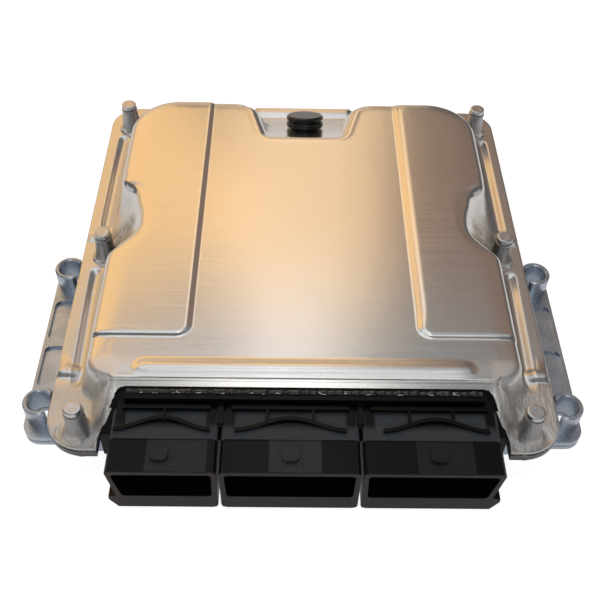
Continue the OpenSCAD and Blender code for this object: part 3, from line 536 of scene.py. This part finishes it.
# The lid: side panels with borders that rise steeply from their foot, the long bead, and a border
# that falls a little towards the edge and dips at the end of each scallop
PANEL_X, PANEL_Y, PANEL_R, PANEL_RISE = 39, -48.8, 5, 0.75
BEAD_HALF, BEAD_Y, BEAD_WIDTH, BEAD_RISE = 53.1, -61.7, 4.2, 0.95
from_x, from_y = PANEL_X + PANEL_R - x, PANEL_Y + PANEL_R - y
spread = 1 - 0.4 * ease(-from_y / 6) * (sx > 0)
into = np.where(
    (from_x > 0) & (from_y > 0),
    PANEL_R - np.hypot(np.maximum(from_x, 0), np.maximum(from_y, 0)),
    np.minimum((x - PANEL_X) * spread, y - PANEL_Y),
)
rise = np.clip(into / np.where(sx > 0, 2.2, 1.7), 0, 1)
lid = COVER_TOP + PANEL_RISE * (1 - (1 - rise) ** 2)
off_bead = np.hypot(np.maximum(x - BEAD_HALF, 0), y - BEAD_Y)
lid = lid + BEAD_RISE * np.clip(1 - (off_bead / BEAD_WIDTH) ** 2, 0, 1) ** 2
sag = 0.08 + 0.22 * ease((y + 62) / 20)
lid = lid - sag * (1 - np.clip(to_edge / 7, 0, 1)) ** 2 * ease(share)
lid = lid - 2.0 * ease(1 - np.hypot(x - PAN_HALF, y - 22) / 10)
z = np.where(on_lid, lid, lid - edge_r * (1 - np.cos(edge_a)))
from_z, to_z = lid - edge_r * (1 - np.cos(lean)), FLANGE_TOP + root_r * (1 - np.cos(lean))
z = np.where(wall_t > 0, from_z * (1 - wall_t) + to_z * wall_t, z)
z = np.where(root_t > 0, FLANGE_TOP + root_r * (1 - np.cos(root_a)), z)
z = np.where(flange_t > 0, FLANGE_TOP - roll_down, z)

# The apron at the front runs down at about 45 degrees. Beside the header it is folded and falls
# away to the flange, with ridges along the fold where the sheet was gathered.
FOLD_FOOT = 71
slope = 27.2 + (y + 66.1) * 0.987
fold = 63.1 + 0.28 * (-65 - y)
fall = (FOLD_FOOT - x) / np.maximum(FOLD_FOOT - fold, 0.5)
closing = FLANGE_TOP + np.maximum(slope - FLANGE_TOP, 1.5) * fall
apron = smooth_min(smooth_min(lid, slope, 1.4), closing, 1.0)
with_apron = np.minimum(smooth_max(z, apron, 2.4), np.maximum(z, lid))
z = np.where((y < -56) & (roll == 0), with_apron, z)
gather = ease(fall / 0.2) * ease((1.15 - fall) / 0.3)
gather = gather * ease((slope - 12) / 3) * ease((-61 - y) / 3) * (roll == 0)
ridges = np.sin(26 * fall + 0.7 + 0.25 * y) + 0.6 * np.sin(57 * fall + 2.0)
z = z + 0.13 * gather * ridges * ease((lid - z - 1) / 2)

# The notch: a ramp down to the back between two walls, closed by a raised rim
NOTCH_HALF, NOTCH_FRONT, NOTCH_R = 17.4, 58.4, 4
NOTCH_MOUTH, MOUTH_R, WALL_BEND = 76.3, 5, 3.2
RAMP = math.tan(math.radians(24))
ramp = COVER_TOP - (y - NOTCH_FRONT) * RAMP
beside = 0.965 * (x - NOTCH_HALF - 0.27 * (y - NOTCH_FRONT)) + NOTCH_R
beyond = NOTCH_FRONT - y + NOTCH_R
from_notch = np.hypot(np.maximum(beside, 0), np.maximum(beyond, 0)) - NOTCH_R
from_notch = from_notch + np.minimum(np.maximum(beside, beyond), 0)
lip = 0.11 * np.exp(-(((from_notch - 0.9) / 0.8) ** 2)) * (y > 50) * on_lid
round_off = MOUTH_R - np.hypot(MOUTH_R - from_notch, np.maximum(y - NOTCH_MOUTH, 0))
at_mouth = (from_notch < MOUTH_R) & (y > NOTCH_MOUTH)
from_notch = np.where(at_mouth, np.minimum(from_notch, round_off), from_notch)
inside = np.maximum(-from_notch, 0)
bend = np.minimum(inside, 2.77)
wall_depth = WALL_BEND - np.sqrt(WALL_BEND**2 - bend**2) + 1.73 * (inside - bend)
past = np.clip(y - NOTCH_FRONT + 1.6, 0, None)
ramp_depth = RAMP * np.where(past < 3.2, past**2 / 6.4, past - 1.6)
depth = smooth_min(ramp_depth, wall_depth, np.clip(0.9 * np.minimum(ramp_depth, wall_depth), 0.01, 2.2))
cut = np.minimum(z + lip, lid + lip - depth)
back_rim = smooth_min(FLANGE_TOP + 0.5 * (y - 91.2), 13.95, 0.5)
foot = smooth_min(smooth_max(ramp, back_rim, 0.3), FLANGE_TOP + 2.5 * (22 - x), 1.0)
z = np.where((y > 52) & (roll == 0), np.maximum(cut, FLANGE_TOP), z)
z = np.where((y > 78) & (roll == 0), np.maximum(z, foot), z)
z = np.where((y > 78) & (roll > 0), z + 1.45 * ease((23 - x) / 2), z)


# The flange: pressed channels, short ribs across its rim, a dish round each front rivet, and a dome
# and a crease at the front corners
def off_line(x0, y0, x1, y1):
    """Distance from a line between two places."""
    length = math.hypot(x1 - x0, y1 - y0)
    ux, uy = (x1 - x0) / length, (y1 - y0) / length
    t = np.clip((x - x0) * ux + (y - y0) * uy, 0, length)
    return np.hypot(x - x0 - t * ux, y - y0 - t * uy)


RIVET_SIDE, RIVET_FRONT_SIDE, RIVET_FRONT = 76.6, 74.4, -77
low = (root_t > 0) & (roll == 0)
for line in [(79.3, 75, 79.3, 21), (79.4, -6, 78.2, -57)]:
    z = np.where(low, z - 0.95 * (0.5 + 0.5 * np.cos(math.pi * np.clip(off_line(*line) / 3.1, 0, 1))), z)
for line, rib, width in [((79.6, -52.8, 83.8, -52.8), 1.15, 3.0), ((82.6, 12.8, 84.2, 12.8), 0.75, 1.5)]:
    z = np.where(low, z + rib * np.clip(1 - (off_line(*line) / width) ** 2, 0, 1), z)
from_rivet = np.hypot(x - RIVET_FRONT_SIDE, y - RIVET_FRONT)
z = np.where(low, z - 0.5 * ease(1 - np.abs(from_rivet - 7.0) / 2.2) * ease((-74 - y) / 4), z)
z = z + 0.35 * ease(1 - np.hypot(x - 72.2, y + 66.5) / 3.2) * (ring > BORDER + EDGE)
z = np.where(on_lid, z - 0.06 * ease(1 - off_line(65.8, -50.5, 66.6, -57) / 1.0), z)
crease = np.minimum(off_line(64.8, -65.6, 67.6, -65.0), off_line(67.6, -65.0, 70.4, -67.6))
z = z - 0.35 * ease(1 - crease / 0.9) * (ring >= BORDER)

co = np.stack([sx * x, y, z], axis=1) / 1000
cover.data.vertices.foreach_set("co", co.ravel())
cover.data.update()

# The opening over the header is cut out along its sides, given as (x, z), and the sheet gets its
# thickness
ARCH_BACK = -62.8
arch = [(-67.8, 0), (-67.8, 12.5), (-66.4, 15.4), (-64.2, 18)]
arch = arch + [(-62.8, 22.2), (-61.9, 23.8), (-60.4, 25), (-58, 25.3)]
arch = arch + [(-p, q) for p, q in arch[::-1]]


def pick(piece, test):
    """Selects the faces whose centre passes the test, and leaves the piece in edit mode."""
    select_only(piece)
    bpy.ops.object.mode_set(mode="EDIT")
    bpy.ops.mesh.select_mode(type="FACE")
    bpy.ops.mesh.select_all(action="DESELECT")
    bpy.ops.object.mode_set(mode="OBJECT")
    for face in piece.data.polygons:
        face.select = test(face.center * 1000)
    bpy.ops.object.mode_set(mode="EDIT")


for (x0, z0), (x1, z1) in zip(arch, arch[1:]):
    pick(cover, lambda c: c.y < ARCH_BACK and abs(c.x) < 75)
    bpy.ops.mesh.bisect(plane_co=(x0 / 1000, 0, z0 / 1000), plane_no=(z1 - z0, 0, x0 - x1), threshold=1e-7)
    bpy.ops.object.mode_set(mode="OBJECT")


def in_arch(c):
    """Whether a place lies in the opening: a line to its right crosses the outline an odd number of times."""
    if c.y > ARCH_BACK:
        return False
    crossings = 0
    for (x0, z0), (x1, z1) in zip(arch, arch[1:] + arch[:1]):
        if (z0 > c.z) != (z1 > c.z) and c.x < x0 + (c.z - z0) / (z1 - z0) * (x1 - x0):
            crossings += 1
    return crossings % 2 == 1


pick(cover, in_arch)
bpy.ops.mesh.delete(type="FACE")
bpy.ops.object.mode_set(mode="OBJECT")
apply(cover, "SOLIDIFY", {"thickness": SHEET / 1000, "offset": -1})

# The collars are drawn up from the flange round each rivet, with a flared root and a rolled lip
rivet_rows = [(RIVET_SIDE, 83), (RIVET_SIDE, 3), (RIVET_FRONT_SIDE, RIVET_FRONT)]
rivet_places = [(side * far, place) for side in (-1, 1) for far, place in rivet_rows]


def turned(name, profile, count):
    """A turned shape from a profile of (radius, height) in millimetres, at the origin."""
    r0, z0 = profile[0]
    bpy.ops.object.select_all(action="DESELECT")
    bpy.ops.mesh.primitive_circle_add(vertices=count, radius=r0 / 1000, location=(0, 0, z0 / 1000))
    piece = bpy.context.object
    piece.name = name
    bpy.ops.object.transform_apply(location=True)
    bpy.ops.object.mode_set(mode="EDIT")
    bpy.ops.mesh.select_mode(type="VERT")
    bpy.ops.mesh.select_all(action="SELECT")
    for (r0, z0), (r1, z1) in zip(profile, profile[1:]):
        bpy.ops.mesh.extrude_region_move(TRANSFORM_OT_translate={"value": (0, 0, (z1 - z0) / 1000)})
        grow = max(r1, 1e-4) / r0
        bpy.ops.transform.resize(value=(grow, grow, 1), center_override=(0, 0, z1 / 1000))
    bpy.ops.mesh.select_all(action="SELECT")
    bpy.ops.mesh.remove_doubles(threshold=1e-6)
    bpy.ops.mesh.normals_make_consistent(inside=False)
    bpy.ops.object.mode_set(mode="OBJECT")
    select_only(piece)
    bpy.ops.object.shade_smooth_by_angle(angle=math.radians(38))
    return piece


def copies_at(pattern, places, name):
    """Copies of one piece at several places, joined, each with its own mesh."""
    made = []
    for px, py in places:
        copy = bpy.data.objects.new(name, pattern.data.copy())
        copy.data.transform(Matrix.Translation((px / 1000, py / 1000, 0)))
        bpy.context.scene.collection.objects.link(copy)
        made.append(copy)
    bpy.data.objects.remove(pattern)
    select_only(made[0])
    for copy in made:
        copy.select_set(True)
    bpy.ops.object.join()
    return bpy.context.object


flare = [(5.8, 12.1), (5.5, 12.5), (4.9, 12.9), (4.45, 13.6), (4.1, 14.6), (3.8, 16), (3.55, 18)]
neck = [(3.35, 20.5), (3.2, 22.4), (3.28, 22.8), (3.42, 23.1), (3.42, 23.35), (3.25, 23.6), (2.9, 23.7)]
bore = [(2.02, 23.7), (2.02, 12.4)]
collar = turned("collar", flare + neck + bore, 40)
collars = copies_at(collar, rivet_places, "collars")
select_only(cover)
collars.select_set(True)
bpy.ops.object.join()
select_only(cover)
bpy.ops.object.shade_smooth_by_angle(angle=math.radians(42))

# The finish: brushed along the lid, duller on the walls and the drawn front corners, with painted
# brown shade in the hollows of the scallops
sheet_metal, shader, shade = new_finish("brushed_sheet", {"Metallic": 1.0})
streak = shade.noise(1.0, (0.015, 3.2, 3.2), detail=4.0, roughness=0.6)
fine = shade.noise(1.0, (0.05, 9.0, 9.0), detail=2.0)
smudge = shade.noise(0.03, detail=2.0)
aside = shade.math("ABSOLUTE", shade.axis("X"), 0.0)
back, height = shade.axis("Y"), shade.axis("Z")
walls = 1 - height.between(21, 26)
drawn = aside.between(60, 65) * (1 - back.between(-62, -55))
from_row = shade.math("PINGPONG", back - RIVET_FRONT, 40.0)
collar_skin = (1 - from_row.between(3.8, 4.8)) * height.between(13.2, 15.5) * aside.between(70, 71)
hollow = aside.between(63, 65) * (1 - aside.between(75, 77)) * back.between(-4, 2) * (1 - back.between(11, 19))
# Painted shade: the scallops' hollows below the lid are darkened brown and blotchy, standing for the dark
# surroundings that the concave sheet reflects there.
hollow_shade = 0.55 + 0.45 * shade.noise(0.5, detail=3.0).between(0.35, 0.65)
hollow_shade = 0.9 * hollow_shade * hollow * (1 - height.between(23, 25.5))
on_bead = back.between(-66.5, -65) * (1 - back.between(-58.5, -57))
brushed = streak * (1 - walls)
bright = shade.blend(brushed, (0.74, 0.73, 0.72, 1), (0.88, 0.87, 0.86, 1))
bright = shade.blend(hollow_shade, bright, (0.26, 0.21, 0.15, 1))
dulled = 0.13 * walls + 0.22 * drawn + 0.14 * collar_skin + 0.05 * on_bead
wrinkle = shade.noise(0.55, (1.0, 0.35, 0.35), detail=3.0) * drawn * walls
feed(
    shader,
    {
        "Base Color": shade.blend(0.6 * collar_skin, bright, (0.3, 0.31, 0.33, 1)),
        "Roughness": 0.11 + 0.09 * brushed + 0.04 * smudge + dulled,
        "Normal": shade.bump(brushed + 0.6 * fine * (1 - walls) + 70.0 * wrinkle, 0.2, 0.06),
    },
)
place_piece(cover, "cover", sheet_metal)


# Rivets: steel studs of the base that pass through the collars. Their ends are upset to flat heads
# that hold the cover down.
shank = [(1.98, 3.0), (1.98, 23.9), (2.9, 23.9), (3.0, 24.0), (3.05, 24.2)]
head = [(3.05, 25.4), (2.95, 25.7), (2.7, 25.85), (2.4, 25.9), (1.2, 25.82), (0.4, 25.8), (0.0, 25.8)]
rivet = turned("rivet", shank + head, 40)
rivets = copies_at(rivet, rivet_places, "rivets")
rivets.name = "rivets"
plated = {"Metallic": 1.0}
rivet_metal = plain_finish("rivet_steel", (0.58, 0.59, 0.61), (0.72, 0.73, 0.75), 0.26, plated, 0.7, 0.03)
place_piece(rivets, "cover_rivets", rivet_metal)


# Vent plug: a body and a cap moulded in glossy black plastic. The body snaps into the ramp, and
# the cap covers a porous film that lets the pressure even out.
gloss = plain_finish("vent_black", (0.005, 0.005, 0.005), (0.009, 0.009, 0.009), 0.2, {"IOR": 1.5}, 0.5, 0.05)
vent_body = rounded_copy("vent_body", "vent_base", 0.15)
place_piece(vent_body, "vent_body", gloss)
vent_cap = rounded_copy("vent_cap", "vent_lid", 0.15)
place_piece(vent_cap, "vent_cap", gloss)
film = plain_finish("porous_film", (0.78, 0.78, 0.75), (0.86, 0.86, 0.84), 0.75, {}, 1.5, 0.05)
dress(["vent_membrane"], film)


# Floor, lights and camera: a white ground, a warm card behind on the left, a darker one on the
# right, a white softbox above, and the camera at the photograph's angle.
bpy.ops.object.select_all(action="DESELECT")
bpy.ops.mesh.primitive_plane_add(size=6, location=(0, 0, -0.0002))
floor = bpy.context.object
floor.name = "floor"
paper = bpy.data.materials.new("white_paper")
paper.use_nodes = True
tree = paper.node_tree
tree.nodes.clear()
shade = Shade(tree)
glossy_ray = shade.node("ShaderNodeLightPath", {}, {}, "Is Glossy Ray")
through_ray = shade.node("ShaderNodeLightPath", {}, {}, "Is Transmission Ray")
camera_ray = shade.node("ShaderNodeLightPath", {}, {}, "Is Camera Ray")
mirrored = shade.math("MAXIMUM", glossy_ray, through_ray)
seen = shade.math("MAXIMUM", 0.85 * camera_ray, 0.36 * mirrored)
matt = shade.node("ShaderNodeBsdfDiffuse", {}, {"Color": (0.8, 0.8, 0.8, 1)})
glow = shade.node("ShaderNodeEmission", {}, {"Color": (1, 1, 1, 1), "Strength": seen})
both = shade.node("ShaderNodeAddShader", {}, {0: matt, 1: glow})
out = tree.nodes.new("ShaderNodeOutputMaterial")
tree.links.new(both.socket, out.inputs["Surface"])
floor.data.materials.append(paper)

world = bpy.data.worlds.new("studio")
bpy.context.scene.world = world
world.use_nodes = True
tree = world.node_tree
shade = Shade(tree)
camera_ray = shade.node("ShaderNodeLightPath", {}, {}, "Is Camera Ray")
sky = tree.nodes["Background"]
colour = shade.blend(camera_ray, (0.12, 0.12, 0.12, 1), (1, 1, 1, 1))
tree.links.new(colour.socket, sky.inputs["Color"])


def card(name, bearing, height, distance, size, colour, radiance):
    """A large soft card. The bearing is from +Y towards +X and the height above the floor, in degrees."""
    a, b = math.radians(bearing), math.radians(height)
    place = distance * Vector((math.sin(a) * math.cos(b), math.cos(a) * math.cos(b), math.sin(b)))
    light = bpy.data.lights.new(name, "AREA")
    light.shape = "RECTANGLE"
    light.size, light.size_y = size
    light.color = colour
    light.energy = radiance * math.pi * size[0] * size[1]
    lamp = bpy.data.objects.new(name, light)
    lamp.location = place
    lamp.rotation_euler = (-place).to_track_quat("-Z", "Y").to_euler()
    bpy.context.scene.collection.objects.link(lamp)


card("warm_card", -36.2, 38.5, 6, (5.14, 2.5), (1.0, 0.58, 0.2), 1.02)
card("pale_card", 1.5, 38.5, 6, (1.12, 2.5), (1.0, 0.66, 0.34), 1.02)
card("brown_card", 36, 38.5, 6, (4.6, 2.5), (1.0, 0.4, 0.12), 0.13)
card("low_card", -27, 12, 6, (8.5, 3.2), (1.0, 0.68, 0.38), 0.6)
card("left_grey", -32, 54, 6, (3.7, 0.85), (0.95, 0.97, 1.0), 0.26)
card("right_grey", 32, 53, 6, (3.7, 0.95), (0.82, 0.96, 1.0), 0.12)
card("white_band", 0.5, 69.5, 5, (0.62, 3.74), (0.98, 0.98, 0.99), 0.9)
card("upper_left", -40, 66, 5, (2.84, 1.58), (0.94, 0.98, 1.0), 0.75)
card("upper_right", 40, 66, 5, (2.84, 1.58), (0.94, 0.98, 1.0), 0.32)
card("top_card", 0, 88, 5, (3.0, 1.2), (1.0, 1.0, 1.0), 0.8)
card("left_side", -105, 14, 6, (4.0, 2.6), (1.0, 0.99, 0.97), 0.42)
card("right_side", 105, 14, 6, (4.0, 2.6), (0.96, 0.98, 1.0), 0.34)
card("front_strip", 180, 58, 5, (4.5, 0.4), (1.0, 1.0, 1.0), 1.1)
card("front_left", -142, 36, 6, (5.0, 3.44), (1.0, 0.99, 0.97), 0.28)
card("front_band", 180, 36, 6, (1.3, 3.44), (1.0, 0.99, 0.97), 1.4)
card("front_right", 142, 36, 6, (5.0, 3.44), (1.0, 0.99, 0.97), 0.13)

PICTURE_WIDTH, FOCAL_PIXELS = 600, 884.3
lens = bpy.data.cameras.new("camera")
lens.sensor_width = 36.0
lens.lens = FOCAL_PIXELS * lens.sensor_width / PICTURE_WIDTH
lens.clip_start, lens.clip_end = 0.01, 50
camera = bpy.data.objects.new("camera", lens)
bpy.context.scene.collection.objects.link(camera)
pitch, yaw, tilt = (math.radians(a) for a in (48.63, 1.16, -1.51))
camera.matrix_world = (
    Matrix.Translation((-0.00579, -0.23760, 0.26122))
    @ Matrix.Rotation(-yaw, 4, "Z")
    @ Matrix.Rotation(math.pi / 2 - pitch, 4, "X")
    @ Matrix.Rotation(-tilt, 4, "Z")
)
bpy.context.scene.camera = camera
bpy.context.scene.view_settings.view_transform = "Standard"
